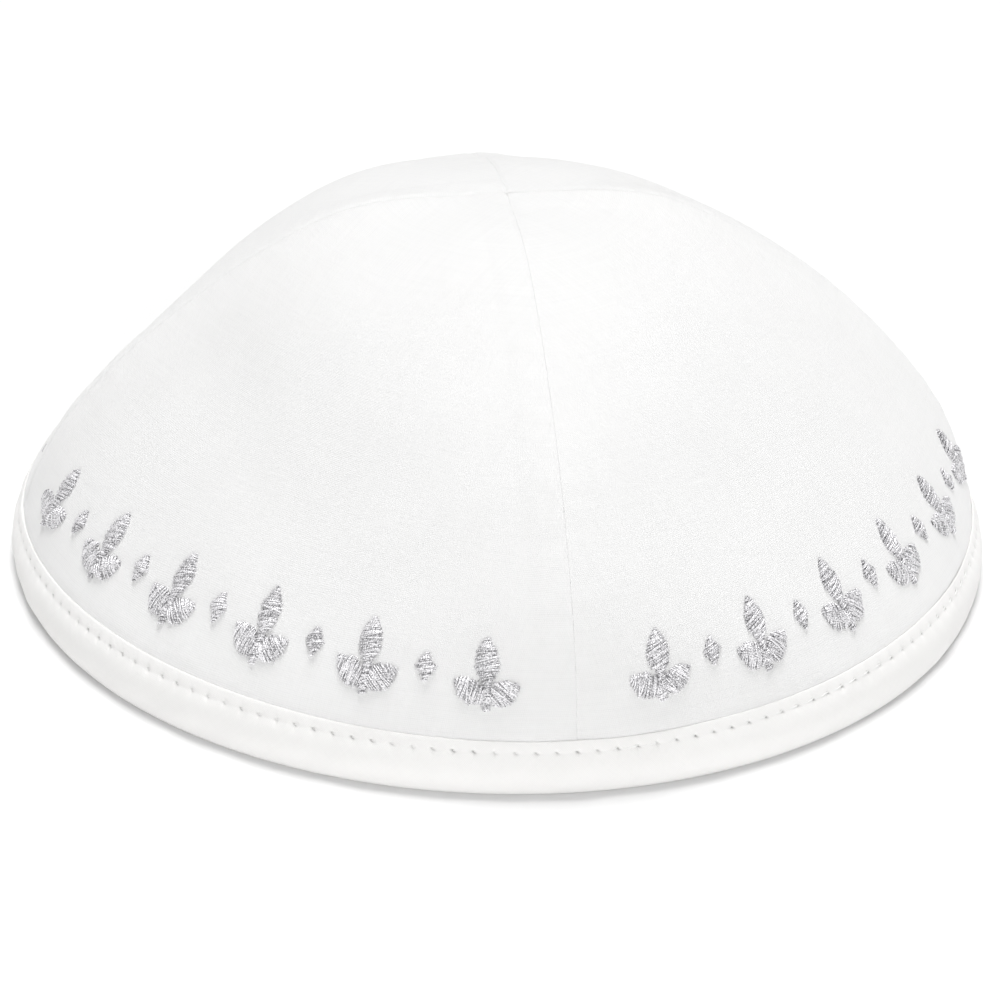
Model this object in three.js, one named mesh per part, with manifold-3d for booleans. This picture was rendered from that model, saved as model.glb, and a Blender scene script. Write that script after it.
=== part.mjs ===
// A four-gore cloth skullcap with a bound rim and an embroidered border of leaf sprigs.
// Millimetres, +Z up. The origin is on the floor under the middle of the rim, and the front seam is on -Y.
// An azimuth is counted from the front seam towards +X, and a share runs up a meridian from 0 at the rim
// to 1 at the crown.
import * as THREE from 'three';
import { mergeVertices } from 'three/addons/utils/BufferGeometryUtils.js';
import Module from 'manifold-3d';

const wasm = await Module();
wasm.setup();

// Driving sizes of the cap
const rimDiameter = 180;
const crownHeight = 68.4;
const clothWall = 1.2;
const seamGap = 0.3;
const fitClearance = 0.3;

// Driving sizes of the binding, a tape folded round the cloth's lower edge
const bindingLeaf = 1.0;
const bindingWidth = 9.4;
const bindingEdgeCut = 0.3;

// Driving sizes of the embroidered border
const padThickness = 0.8;
const borderFoot = 4.6;
const borderSeamMargin = 8.5;
const sprigsPerGore = 6;
const sprigHeight = 11.6;
const topLeafLength = 7.4;
const sideLeafLength = 6.0;
const sideLeafTilt = 58;
const sideLeafFoot = 1.5;
const leafWidth = 3.9;
const leafBelly = 0.45;
const stemWidth = 1.3;
const lozengeHeight = 4.6;
const lozengeWidth = 3.4;

// Depth of the cloth's dents, which fade out within a share of the cap's radius round the crown
const dentDepth = 2.4;
const dentFadeReach = 0.25;

// Fineness of the solids
const goreColumns = 16;
const goreRows = 13;
const leafPoints = 4;

// Rows of the seam's meridian from the rim to the crown. reach is a share of the cap's radius, rise is
// a share of crownHeight, and corner is the exponent of the plan: 2 is round, less is flat between seams.
const meridianRows = [
  { reach: 1.0, rise: 0.0, corner: 2.0 },
  { reach: 0.993, rise: 0.125, corner: 1.92 },
  { reach: 0.922, rise: 0.36, corner: 1.56 },
  { reach: 0.76, rise: 0.62, corner: 1.4 },
  { reach: 0.592, rise: 0.79, corner: 1.45 },
  { reach: 0.398, rise: 0.922, corner: 1.56 },
  { reach: 0.215, rise: 0.989, corner: 1.62 },
  { reach: 0.0, rise: 1.0, corner: 1.8 },
];

// Soft dents of the cloth. azimuth and width are in degrees, share and height are shares of the meridian,
// depth is a share of dentDepth, negative for a bulge, and slant turns the dent by degrees of azimuth
// over a whole meridian.
const dents = [
  { azimuth: -81, share: 0.44, depth: 1.0, width: 24, height: 0.16, slant: 0 },
  { azimuth: -75, share: 0.45, depth: 0.4, width: 7, height: 0.13, slant: 20 },
  { azimuth: 73, share: 0.4, depth: -0.4, width: 26, height: 0.2, slant: 0 },
  { azimuth: 76, share: 0.38, depth: 0.3, width: 6, height: 0.09, slant: -20 },
  { azimuth: -134, share: 0.66, depth: -0.6, width: 30, height: 0.2, slant: 0 },
  { azimuth: -90, share: 0.72, depth: -0.4, width: 28, height: 0.14, slant: 0 },
  { azimuth: 90, share: 0.72, depth: -0.3, width: 28, height: 0.14, slant: 0 },
  { azimuth: 180, share: 0.74, depth: 0.95, width: 40, height: 0.14, slant: 0 },
];

// Colours and finishes
const cottonLook = { color: 0xf3f2ee, roughness: 0.92, metalness: 0.0 };
const tapeLook = { color: 0xf1efe9, roughness: 0.88, metalness: 0.0 };
const threadLook = { color: 0xa6a8ac, roughness: 0.45, metalness: 0.35 };

const quarterTurn = Math.PI / 2;
const capRadius = rimDiameter / 2 - bindingLeaf - fitClearance;
const sprigWidth = 2 * sideLeafLength * Math.sin(THREE.MathUtils.degToRad(sideLeafTilt));

// The row past the crown mirrors the one before it, so that the top is level
function meridianCurve() {
  const points = meridianRows.map((row) => new THREE.Vector3(row.reach, row.rise, row.corner));
  const last = points[points.length - 2];
  points.push(new THREE.Vector3(-last.x, last.y, last.z));
  return new THREE.CatmullRomCurve3(points, false, 'catmullrom', 0.5);
}

const meridian = meridianCurve();

function meridianAt(share) {
  const spans = meridianRows.length - 1;
  const point = meridian.getPoint((share * spans) / (spans + 1));
  return { reach: point.x, rise: point.y, corner: point.z };
}

function dentAt(azimuth, share) {
  let depth = 0;
  for (const dent of dents) {
    const middle = THREE.MathUtils.degToRad(dent.azimuth + dent.slant * (share - dent.share));
    const turn = Math.atan2(Math.sin(azimuth - middle), Math.cos(azimuth - middle));
    const across = turn / THREE.MathUtils.degToRad(dent.width);
    const along = (share - dent.share) / dent.height;
    depth += dent.depth * dentDepth * Math.exp(-across * across - along * along);
  }
  return depth;
}

// Radius and height of the cloth's outer face
function outerFace(azimuth, share) {
  const { reach, rise, corner } = meridianAt(share);
  const plan = Math.abs(Math.cos(azimuth)) ** corner + Math.abs(Math.sin(azimuth)) ** corner;
  const smooth = (reach * capRadius) / plan ** (1 / corner);
  const dent = dentAt(azimuth, share) * Math.min(1, reach / dentFadeReach);
  return { radius: smooth - dent, height: rise * crownHeight };
}

// Radius and height at a depth under the outer face. The way in is level at the rim and square to the
// meridian from the binding's upper edge on. A negative depth lies outside.
function underFace(azimuth, share, depth) {
  const step = 0.002;
  const here = outerFace(azimuth, share);
  if (share > 1 - step) {
    return { radius: 0, height: here.height - depth };
  }
  const below = outerFace(azimuth, Math.max(0, share - step));
  const above = outerFace(azimuth, share + step);
  const climb = above.height - below.height;
  const draw = (below.radius - above.radius) * Math.min(1, here.height / bindingWidth);
  const slope = Math.hypot(climb, draw);
  return {
    radius: here.radius - (depth * climb) / slope,
    height: here.height - (depth * draw) / slope,
  };
}

function atAzimuth(azimuth, radius, height) {
  return new THREE.Vector3(radius * Math.sin(azimuth), -radius * Math.cos(azimuth), height);
}

// The front seam's meridian walked from the rim to the crown
function walkMeridian() {
  const steps = 400;
  const walk = [{ share: 0, ...outerFace(0, 0), distance: 0 }];
  for (let i = 1; i <= steps; i += 1) {
    const before = walk[i - 1];
    const here = { share: i / steps, ...outerFace(0, i / steps) };
    here.distance = before.distance + Math.hypot(here.radius - before.radius, here.height - before.height);
    walk.push(here);
  }
  return walk;
}

const meridianWalk = walkMeridian();

// One column of the walk where another column reaches a value
function onWalk(wanted, column, value) {
  const next = Math.max(1, meridianWalk.findIndex((row) => row[column] >= value));
  const low = meridianWalk[next - 1];
  const high = meridianWalk[next];
  const part = (value - low[column]) / (high[column] - low[column]);
  return THREE.MathUtils.lerp(low[wanted], high[wanted], part);
}

// A closed solid from triangles of points, leaving out those that a pole has closed up
function solidFrom(triangles) {
  const positions = [];
  for (const [a, b, c] of triangles) {
    if (a.distanceTo(b) > 1e-4 && b.distanceTo(c) > 1e-4 && c.distanceTo(a) > 1e-4) {
      positions.push(...a, ...b, ...c);
    }
  }
  const geometry = new THREE.BufferGeometry();
  geometry.setAttribute('position', new THREE.Float32BufferAttribute(positions, 3));
  return mergeVertices(geometry, 1e-4);
}

// Two triangles for each cell of a grid of points, facing out where columns run right and rows run up
function gridTriangles(grid) {
  const triangles = [];
  for (let row = 0; row + 1 < grid.length; row += 1) {
    for (let column = 0; column + 1 < grid[row].length; column += 1) {
      const a = grid[row][column];
      const b = grid[row][column + 1];
      const c = grid[row + 1][column + 1];
      const d = grid[row + 1][column];
      triangles.push([a, b, c], [a, c, d]);
    }
  }
  return triangles;
}

// A sheet of cloth between an outer and an inner grid, closed along its edges
function sheetBetween(outer, inner) {
  const flipped = inner.map((row) => [...row].reverse());
  const lastRow = outer.length - 1;
  const lastColumn = outer[0].length - 1;
  return solidFrom([
    ...gridTriangles(outer),
    ...gridTriangles(flipped),
    ...gridTriangles([inner[0], outer[0]]),
    ...gridTriangles([outer[lastRow], inner[lastRow]]),
    ...gridTriangles([outer.map((row) => row[0]), inner.map((row) => row[0])]),
    ...gridTriangles([inner.map((row) => row[lastColumn]), outer.map((row) => row[lastColumn])]),
  ]);
}

function meshOf(name, geometry, look) {
  geometry.computeVertexNormals();
  const mesh = new THREE.Mesh(geometry, new THREE.MeshStandardMaterial(look));
  mesh.name = name;
  return mesh;
}

// One quarter of the cap between two seams. Each seam's plane is kept half a seam gap away on both sides.
function goreFace(firstSeam, depth) {
  const footShare = onWalk('share', 'height', bindingLeaf + fitClearance);
  const halfGap = seamGap / 2;
  const grid = [];
  for (let row = 0; row <= goreRows; row += 1) {
    const share = footShare + ((1 - footShare) * row) / goreRows;
    const points = [];
    for (let column = 0; column <= goreColumns; column += 1) {
      const turn = (quarterTurn * column) / goreColumns;
      const { radius, height } = underFace(firstSeam + turn, share, depth);
      const kept = radius * (1 - halfGap / capRadius);
      const along = halfGap + kept * Math.cos(turn);
      const across = halfGap + kept * Math.sin(turn);
      points.push(atAzimuth(firstSeam, along, height).add(atAzimuth(firstSeam + quarterTurn, across, 0)));
    }
    grid.push(points);
  }
  return grid;
}

function makeGore(name, firstSeam) {
  return meshOf(name, sheetBetween(goreFace(firstSeam, 0), goreFace(firstSeam, clothWall)), cottonLook);
}

// The binding's section as depths under the cloth's outer face and heights up the cloth: an outer leaf,
// the fold under the cloth's edge and an inner leaf, with the folded edges cut off
function bindingSection() {
  const outerSide = -(fitClearance + bindingLeaf);
  const innerGap = clothWall + fitClearance;
  const innerSide = innerGap + bindingLeaf;
  const cut = bindingEdgeCut;
  const middle = bindingWidth / 2;
  const foldTop = bindingLeaf;
  return [
    [outerSide + cut, 0],
    [outerSide, cut],
    [outerSide, middle],
    [outerSide, bindingWidth - cut],
    [outerSide + cut, bindingWidth],
    [-fitClearance, bindingWidth],
    [-fitClearance, middle],
    [-fitClearance, foldTop],
    [innerGap, foldTop],
    [innerGap, middle],
    [innerGap, bindingWidth],
    [innerSide - cut, bindingWidth],
    [innerSide, bindingWidth - cut],
    [innerSide, middle],
    [innerSide, cut],
    [innerSide - cut, 0],
  ];
}

function makeBinding() {
  const section = bindingSection();
  const segments = 4 * goreColumns;
  const grid = [...section, section[0]].map(([depth, height]) => {
    const share = onWalk('share', 'height', height);
    const ring = [];
    for (let i = 0; i <= segments; i += 1) {
      const azimuth = (4 * quarterTurn * (i % segments)) / segments;
      const point = underFace(azimuth, share, depth);
      ring.push(atAzimuth(azimuth, point.radius, point.height));
    }
    return ring;
  });
  return meshOf('binding', solidFrom(gridTriangles(grid)), tapeLook);
}

// A pad of satin stitch in the flat: x runs along the border, y up the cloth, z out of it
function flatPad(outline) {
  const shape = new THREE.Shape(outline);
  const pad = new THREE.ExtrudeGeometry(shape, { depth: padThickness, bevelEnabled: false });
  pad.deleteAttribute('normal');
  pad.deleteAttribute('uv');
  const merged = mergeVertices(pad, 1e-4);
  const mesh = new wasm.Mesh({
    numProp: 3,
    vertProperties: new Float32Array(merged.attributes.position.array),
    triVerts: new Uint32Array(merged.index.array),
  });
  return new wasm.Manifold(mesh);
}

// A pointed leaf from its foot, turned by a tilt from upright
function leafPad(foot, length, tilt) {
  const stalk = new THREE.Vector2(0, 0);
  const side = new THREE.QuadraticBezierCurve(
    stalk,
    new THREE.Vector2(leafWidth, length * leafBelly),
    new THREE.Vector2(0, length),
  ).getPoints(leafPoints);
  const otherSide = side.slice(1, -1).reverse().map((point) => new THREE.Vector2(-point.x, point.y));
  const turn = -THREE.MathUtils.degToRad(tilt);
  const outline = [...side, ...otherSide].map((point) => point.clone().rotateAround(stalk, turn));
  return flatPad(outline.map((point) => point.setY(point.y + foot)));
}

function stemPad(height) {
  const half = stemWidth / 2;
  return flatPad([
    new THREE.Vector2(-half, 0),
    new THREE.Vector2(half, 0),
    new THREE.Vector2(half, height),
    new THREE.Vector2(-half, height),
  ]);
}

function flatSprig() {
  const topLeafFoot = sprigHeight - topLeafLength;
  return stemPad(topLeafFoot + stemWidth)
    .add(leafPad(topLeafFoot, topLeafLength, 0))
    .add(leafPad(sideLeafFoot, sideLeafLength, sideLeafTilt))
    .add(leafPad(sideLeafFoot, sideLeafLength, -sideLeafTilt));
}

function flatLozenge() {
  const middle = sprigHeight / 2;
  return flatPad([
    new THREE.Vector2(0, middle - lozengeHeight / 2),
    new THREE.Vector2(lozengeWidth / 2, middle),
    new THREE.Vector2(0, middle + lozengeHeight / 2),
    new THREE.Vector2(-lozengeWidth / 2, middle),
  ]);
}

// The border starts this far up the cloth, and its middle line is tightest halfway between two seams
const borderStart = onWalk('distance', 'height', bindingWidth) + borderFoot;
const borderShare = onWalk('share', 'distance', borderStart + sprigHeight / 2);
const borderRadius = outerFace(quarterTurn / 2, borderShare).radius;

// A flat pad laid on the cloth round an azimuth
function padOnCloth(name, pad, azimuth) {
  const flat = pad.getMesh();
  const positions = [];
  for (let i = 0; i < flat.vertProperties.length; i += flat.numProp) {
    const [x, y, z] = flat.vertProperties.subarray(i, i + 3);
    const turn = azimuth + x / borderRadius;
    const share = onWalk('share', 'distance', borderStart + y);
    const { radius, height } = underFace(turn, share, -(fitClearance + z));
    positions.push(...atAzimuth(turn, radius, height));
  }
  const geometry = new THREE.BufferGeometry();
  geometry.setAttribute('position', new THREE.Float32BufferAttribute(positions, 3));
  geometry.setIndex([...flat.triVerts]);
  return meshOf(name, geometry, threadLook);
}

// Sprigs in an even row across a gore, with a lozenge between each two
function makeBorder(goreName, firstSeam) {
  const marginTurn = (borderSeamMargin + sprigWidth / 2) / borderRadius;
  const pitchTurn = (quarterTurn - 2 * marginTurn) / (sprigsPerGore - 1);
  const border = new THREE.Group();
  for (let i = 0; i < sprigsPerGore; i += 1) {
    const azimuth = firstSeam + marginTurn + i * pitchTurn;
    border.add(padOnCloth(`sprig_${goreName}_${i + 1}`, flatSprig(), azimuth));
    if (i + 1 < sprigsPerGore) {
      border.add(padOnCloth(`lozenge_${goreName}_${i + 1}`, flatLozenge(), azimuth + pitchTurn / 2));
    }
  }
  return border;
}

const cap = new THREE.Group();
const goreNames = ['front_right', 'back_right', 'back_left', 'front_left'];
goreNames.forEach((goreName, i) => {
  cap.add(makeGore(`gore_${goreName}`, i * quarterTurn));
  cap.add(makeBorder(goreName, i * quarterTurn));
});
cap.add(makeBinding());

export default cap;
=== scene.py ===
import math

import bmesh
import bpy
import numpy as np
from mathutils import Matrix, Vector


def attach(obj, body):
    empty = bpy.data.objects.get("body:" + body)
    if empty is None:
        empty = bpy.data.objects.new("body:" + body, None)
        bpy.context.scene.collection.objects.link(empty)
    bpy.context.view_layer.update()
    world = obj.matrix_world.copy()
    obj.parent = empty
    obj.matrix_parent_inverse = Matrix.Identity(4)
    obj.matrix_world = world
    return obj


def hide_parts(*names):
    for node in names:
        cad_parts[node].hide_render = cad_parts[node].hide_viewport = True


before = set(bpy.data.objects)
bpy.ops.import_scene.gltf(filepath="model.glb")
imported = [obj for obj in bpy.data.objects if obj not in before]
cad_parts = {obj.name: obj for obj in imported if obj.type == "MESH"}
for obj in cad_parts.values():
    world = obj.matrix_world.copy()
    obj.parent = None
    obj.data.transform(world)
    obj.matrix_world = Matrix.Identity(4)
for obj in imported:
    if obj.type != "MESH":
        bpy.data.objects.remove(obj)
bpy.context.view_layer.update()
print("frame loaded")

mm = 0.001
quarter = math.pi / 2                     # the turn that one gore spans
mergeDistance = 1e-7


def socketCalled(sockets, key):           # by number, or the first live one of that name
    if isinstance(key, int):
        return sockets[key]
    return next(socket for socket in sockets if socket.name == key and socket.enabled)


class Wire:                               # a socket; maths on it is written as an expression
    def __init__(self, bench, socket):
        self.bench = bench
        self.socket = socket

    def other(self, name):                # another output of the same node
        return Wire(self.bench, socketCalled(self.socket.node.outputs, name))

    def __add__(self, value):
        return self.bench.maths("ADD", self, value)

    def __sub__(self, value):
        return self.bench.maths("SUBTRACT", self, value)

    def __rsub__(self, value):
        return self.bench.maths("SUBTRACT", value, self)

    def __mul__(self, value):
        return self.bench.maths("MULTIPLY", self, value)

    def __pow__(self, value):
        return self.bench.maths("POWER", self, value)

    def __abs__(self):
        return self.bench.maths("ABSOLUTE", self)

    __radd__ = __add__
    __rmul__ = __mul__


class Bench:                              # a node tree being laid out
    def __init__(self, tree):
        self.tree = tree

    def add(self, kind, settings=None, values=None, out=0):
        node = self.tree.nodes.new(kind)
        for name, value in (settings or {}).items():
            setattr(node, name, value)
        for key, value in (values or {}).items():
            socket = socketCalled(node.inputs, key)
            if isinstance(value, Wire):
                self.tree.links.new(value.socket, socket)
            else:
                socket.default_value = value
        return Wire(self, socketCalled(node.outputs, out)) if len(node.outputs) else node

    def maths(self, operation, *values):
        return self.add("ShaderNodeMath", {"operation": operation}, dict(enumerate(values)))

    def ask(self, name, kind, value=None):    # a named input of a geometry tree
        socket = self.tree.interface.new_socket(name, in_out="INPUT", socket_type=kind)
        if value is not None:
            socket.default_value = value
        return Wire(self, self.tree.nodes["Group Input"].outputs[name])


# The cap's form, as the solids have it.
capShape = {
    "radius": 88.7 * mm,                  # the cloth's outer face at the rim
    "height": 68.4 * mm,
    "wall": 1.2 * mm,
    "bindingWidth": 9.4 * mm,
    "clothFoot": 1.3 * mm,                # the cloth starts this high, inside the fold of the tape
    "meridian": [                         # reach, rise and the plan's corner, from rim to crown
        (1.0, 0.0, 2.0), (0.993, 0.125, 1.92), (0.922, 0.36, 1.56), (0.76, 0.62, 1.4),
        (0.592, 0.79, 1.45), (0.398, 0.922, 1.56), (0.215, 0.989, 1.62), (0.0, 1.0, 1.8)],
    "dents": [                            # azimuth, share, depth in mm, width, height, slant
        (-81, 0.44, 2.4, 24, 0.16, 0), (-75, 0.45, 0.96, 7, 0.13, 20),
        (73, 0.4, -0.96, 26, 0.2, 0), (76, 0.38, 0.72, 6, 0.09, -20),
        (-134, 0.66, -1.44, 30, 0.2, 0), (-90, 0.72, -0.96, 28, 0.14, 0),
        (90, 0.72, -0.72, 28, 0.14, 0), (180, 0.74, 2.28, 40, 0.14, 0)],
    "dentFade": 0.25,                     # dents fade out nearer the crown than this reach
    "slopeStep": 0.002,                   # the share on each side that a slope is read over
}

meridianRows = np.array(capShape["meridian"])
belowRim, pastCrown = 2 * meridianRows[0] - meridianRows[1], meridianRows[-2] * [-1, 1, 1]
meridianPoints = np.vstack([belowRim, meridianRows, pastCrown])


def meridianAt(share):                    # a smooth curve through the rows, level at the crown
    spans = len(meridianRows) - 1
    place = np.clip(share, 0, 1) * spans
    span = np.minimum(place.astype(int), spans - 1)
    part = (place - span)[..., None]
    a, b, c, d = (meridianPoints[span + i] for i in range(4))
    before, after = (c - a) / 2, (d - b) / 2
    cubic = (2 * b - 2 * c + before + after) * part ** 3
    square = (3 * c - 3 * b - 2 * before - after) * part ** 2
    return cubic + square + before * part + b


def outerFace(azimuth, share):            # radius and height of the cloth's plain outer face
    reach, rise, corner = np.moveaxis(meridianAt(share), -1, 0)
    plan = np.abs(np.cos(azimuth)) ** corner + np.abs(np.sin(azimuth)) ** corner
    radius = reach * capShape["radius"] / plan ** (1 / corner)
    for middle, level, depth, width, height, slant in capShape["dents"]:
        turn = azimuth - np.radians(middle + slant * (share - level))
        across = np.arctan2(np.sin(turn), np.cos(turn)) / math.radians(width)
        bowl = np.exp(-across ** 2 - ((share - level) / height) ** 2)
        radius = radius - depth * mm * bowl * np.minimum(1, reach / capShape["dentFade"])
    return radius, rise * capShape["height"]


def capPoint(azimuth, share, out):        # a point that far outside the plain face
    azimuth, share, out = np.broadcast_arrays(azimuth, np.asarray(share, float), out)
    step = capShape["slopeStep"]
    radius, height = outerFace(azimuth, share)
    lowRadius, lowHeight = outerFace(azimuth, share - step)
    highRadius, highHeight = outerFace(azimuth, share + step)
    climb = highHeight - lowHeight
    draw = (lowRadius - highRadius) * np.minimum(1, height / capShape["bindingWidth"])
    slope = np.hypot(climb, draw)
    radius = radius + out * climb / slope
    return np.stack([radius * np.sin(azimuth), -radius * np.cos(azimuth),
                     height + out * draw / slope], -1)


walkShare = np.linspace(0, 1, 401)        # the front seam's meridian, walked from rim to crown
walkRadius, walkHeight = outerFace(np.zeros_like(walkShare), walkShare)
walkSteps = np.hypot(np.diff(walkRadius), np.diff(walkHeight))
walkDistance = np.concatenate([[0], np.cumsum(walkSteps)])


def smooth(value, start, end):            # 0 at the start, 1 at the end
    part = np.clip((value - start) / (end - start), 0, 1)
    return part * part * (3 - 2 * part)


def softWaves(points, length, seed, count=14):    # even swells of about that length, any way round
    draw = np.random.default_rng(seed)
    ways = draw.normal(size=(count, 3))
    ways /= np.linalg.norm(ways, axis=1)[:, None]
    lengths = length * draw.uniform(0.75, 1.4, count)
    phases = draw.uniform(0, 2 * math.pi, count)
    return sum(np.sin(points @ way * 2 * math.pi / size + phase)
               for way, size, phase in zip(ways, lengths, phases)) / math.sqrt(count / 2)


def gridFaces(down, along, start=0):      # the faces of a grid of points
    index = start + np.arange(down * along).reshape(down, along)
    corners = [index[:-1, :-1], index[:-1, 1:], index[1:, 1:], index[1:, :-1]]
    return np.stack(corners, -1).reshape(-1, 4)


def makePiece(name, points, faces, material, uv=None):      # merged, and turned outwards
    mesh = bpy.data.meshes.new(name)
    mesh.from_pydata(points.reshape(-1, 3), [], faces.tolist())
    if uv is not None:
        layer = mesh.uv_layers.new(name="weave")
        corner = np.zeros(len(mesh.loops), int)
        mesh.loops.foreach_get("vertex_index", corner)
        layer.uv.foreach_set("vector", uv.reshape(-1, 2)[corner].astype(np.float32).ravel())
    shell = bmesh.new()
    shell.from_mesh(mesh)
    bmesh.ops.remove_doubles(shell, verts=shell.verts, dist=mergeDistance)
    bmesh.ops.recalc_face_normals(shell, faces=shell.faces)
    shell.to_mesh(mesh)
    shell.free()
    mesh.shade_smooth()
    mesh.materials.append(material)
    piece = bpy.data.objects.new(name, mesh)
    bpy.context.scene.collection.objects.link(piece)
    return piece


def pathObject(name, lines, vectors=None, numbers=None):    # lines of points for a geometry tree
    starts = np.cumsum([0] + [len(line) for line in lines])
    edges = np.concatenate([np.stack([np.arange(a, b - 1), np.arange(a + 1, b)], 1)
                            for a, b in zip(starts, starts[1:])])
    mesh = bpy.data.meshes.new(name)
    mesh.from_pydata(np.concatenate(lines), edges.tolist(), [])
    for mark, values in (vectors or {}).items():
        attribute = mesh.attributes.new(mark, "FLOAT_VECTOR", "POINT")
        attribute.data.foreach_set("vector", np.concatenate(values).astype(np.float32).ravel())
    for mark, values in (numbers or {}).items():
        attribute = mesh.attributes.new(mark, "FLOAT", "POINT")
        attribute.data.foreach_set("value", np.concatenate(values).astype(np.float32))
    path = bpy.data.objects.new(name, mesh)
    bpy.context.scene.collection.objects.link(path)
    return path


def geometryBench(name):
    tree = bpy.data.node_groups.new(name, "GeometryNodeTree")
    for way in ("INPUT", "OUTPUT"):
        tree.interface.new_socket("Geometry", in_out=way, socket_type="NodeSocketGeometry")
    bench = Bench(tree)
    tree.nodes.new("NodeGroupInput")
    return bench


def finishTree(bench, geometry, material):
    real = bench.add("GeometryNodeRealizeInstances", {}, {"Geometry": geometry})
    even = bench.add("GeometryNodeSetShadeSmooth", {}, {"Geometry": real})
    dyed = bench.add("GeometryNodeSetMaterial", {}, {"Geometry": even, "Material": material})
    bench.add("NodeGroupOutput", {}, {"Geometry": dyed})


def growPiece(path, bench, values):       # runs a tree on a path and keeps the plain mesh
    modifier = path.modifiers.new(bench.tree.name, "NODES")
    modifier.node_group = bench.tree
    for item in bench.tree.interface.items_tree:
        if item.name in values:
            modifier[item.identifier] = values[item.name]
    grown = path.evaluated_get(bpy.context.evaluated_depsgraph_get())
    mesh = bpy.data.meshes.new_from_object(grown)
    path.modifiers.remove(modifier)
    path.data = mesh
    return path


def seat(piece, nodes=()):          # on the one body there is
    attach(piece, "root")
    if nodes:
        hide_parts(*nodes)


weave = {                                 # what both cloths share
    "wanderSize": 9 * mm, "wander": 0.9 * mm,         # no thread runs quite straight
    "blend": 0.3, "crown": 0.4,           # how softly a thread dives, and how flat it lies on top
    "slubSize": 0.5 * mm, "slubStretch": 0.03, "fuzzSize": 0.16 * mm, "fuzz": 0.35,
    "cloudSize": 26 * mm, "paintedGrooveShade": 0.1, "grooveShadeTone": 0.93, "bump": 0.8,
    "roughnessSpread": 0.12, "sheenRoughness": 0.5, "specular": 0.3,
}
cottonLook = {
    "pitch": 0.30 * mm, "turn": 0.0, "relief": 0.035 * mm, "slub": 0.35,
    "light": (0.861, 0.860, 0.858, 1), "warm": (0.839, 0.837, 0.833, 1),
    "roughness": 0.9, "sheen": 0.15,
}
tapeLook = {
    "pitch": 0.26 * mm, "turn": math.radians(45), "relief": 0.03 * mm, "slub": 0.2,
    "light": (0.905, 0.899, 0.889, 1), "warm": (0.885, 0.878, 0.865, 1),
    "roughness": 0.86, "sheen": 0.15,
    # the dashes darken each needle hole: partly the real hole, partly painted shadow
    "dashLength": 0.40 * mm, "dashWidth": 0.15 * mm, "dashLean": math.radians(24),
    "holeShadeColour": (0.20, 0.195, 0.19, 1), "dashDepth": 0.85, "dashSpread": 0.7,
}
silverLook = {
    "dark": (0.15, 0.148, 0.157, 1), "bright": (0.975, 0.966, 0.985, 1), "mean": 0.74,
    "metal": 0.32, "roughness": 0.33, "wrapPitch": 0.42 * mm, "glintSize": 0.30 * mm,
    "toneShare": 0.55, "glintShare": 2.6, "wrapGlintShare": 0.2,      # what each adds to the base colour; glint and wrap add painted glints
    "roughnessSpread": 0.3, "metalSpread": 0.4, "bump": 0.7, "relief": 0.05 * mm,
}
stitchLook = {
    "colour": (0.90, 0.898, 0.89, 1), "shade": (0.82, 0.817, 0.808, 1), "roughness": 0.62,
    "plySize": 0.2 * mm, "bump": 0.5, "relief": 0.04 * mm, "roughnessSpread": 0.2,
}


def newMaterial(name):
    material = bpy.data.materials.new(name)
    material.use_nodes = True
    bench = Bench(material.node_tree)
    return material, bench, material.node_tree.nodes["Principled BSDF"]


def join(bench, wire, socket):
    bench.tree.links.new(wire.socket, socket)


def mixColours(bench, factor, first, second, blend="MIX"):
    settings = {"data_type": "RGBA", "blend_type": blend}
    values = {"Factor": factor, "A": first, "B": second}
    return bench.add("ShaderNodeMix", settings, values, "Result")


def noise(bench, vector, size, detail=2.0):   # about 0.5, with lumps of that size
    return bench.add("ShaderNodeTexNoise", {},
                     {"Vector": vector, "Scale": 1 / size, "Detail": detail})


def needleHoleShade(bench, uv, look, pitch, levels):    # a short dark dash where each stitch dives: partly the real needle hole, partly painted shadow
    u = bench.add("ShaderNodeSeparateXYZ", {}, {0: uv})
    turn = u * (1 / pitch) + 0.5
    offset = (bench.maths("FRACT", turn) - 0.5) * pitch
    strength = bench.add("ShaderNodeTexWhiteNoise", {"noise_dimensions": "1D"},
                         {"W": bench.maths("FLOOR", turn)}, "Value")
    lean = look["dashLean"]
    holeShade = 0
    for level in levels:
        climb = u.other("Y") - level
        along = (offset * math.cos(lean) - climb * math.sin(lean)) * (1 / look["dashLength"])
        across = (offset * math.sin(lean) + climb * math.cos(lean)) * (1 / look["dashWidth"])
        holeShade = holeShade + bench.maths("EXPONENT", 0 - (along * along + across * across))
    spread = look["dashSpread"]
    return holeShade * (strength * spread + (1 - spread)) * look["dashDepth"]


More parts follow.
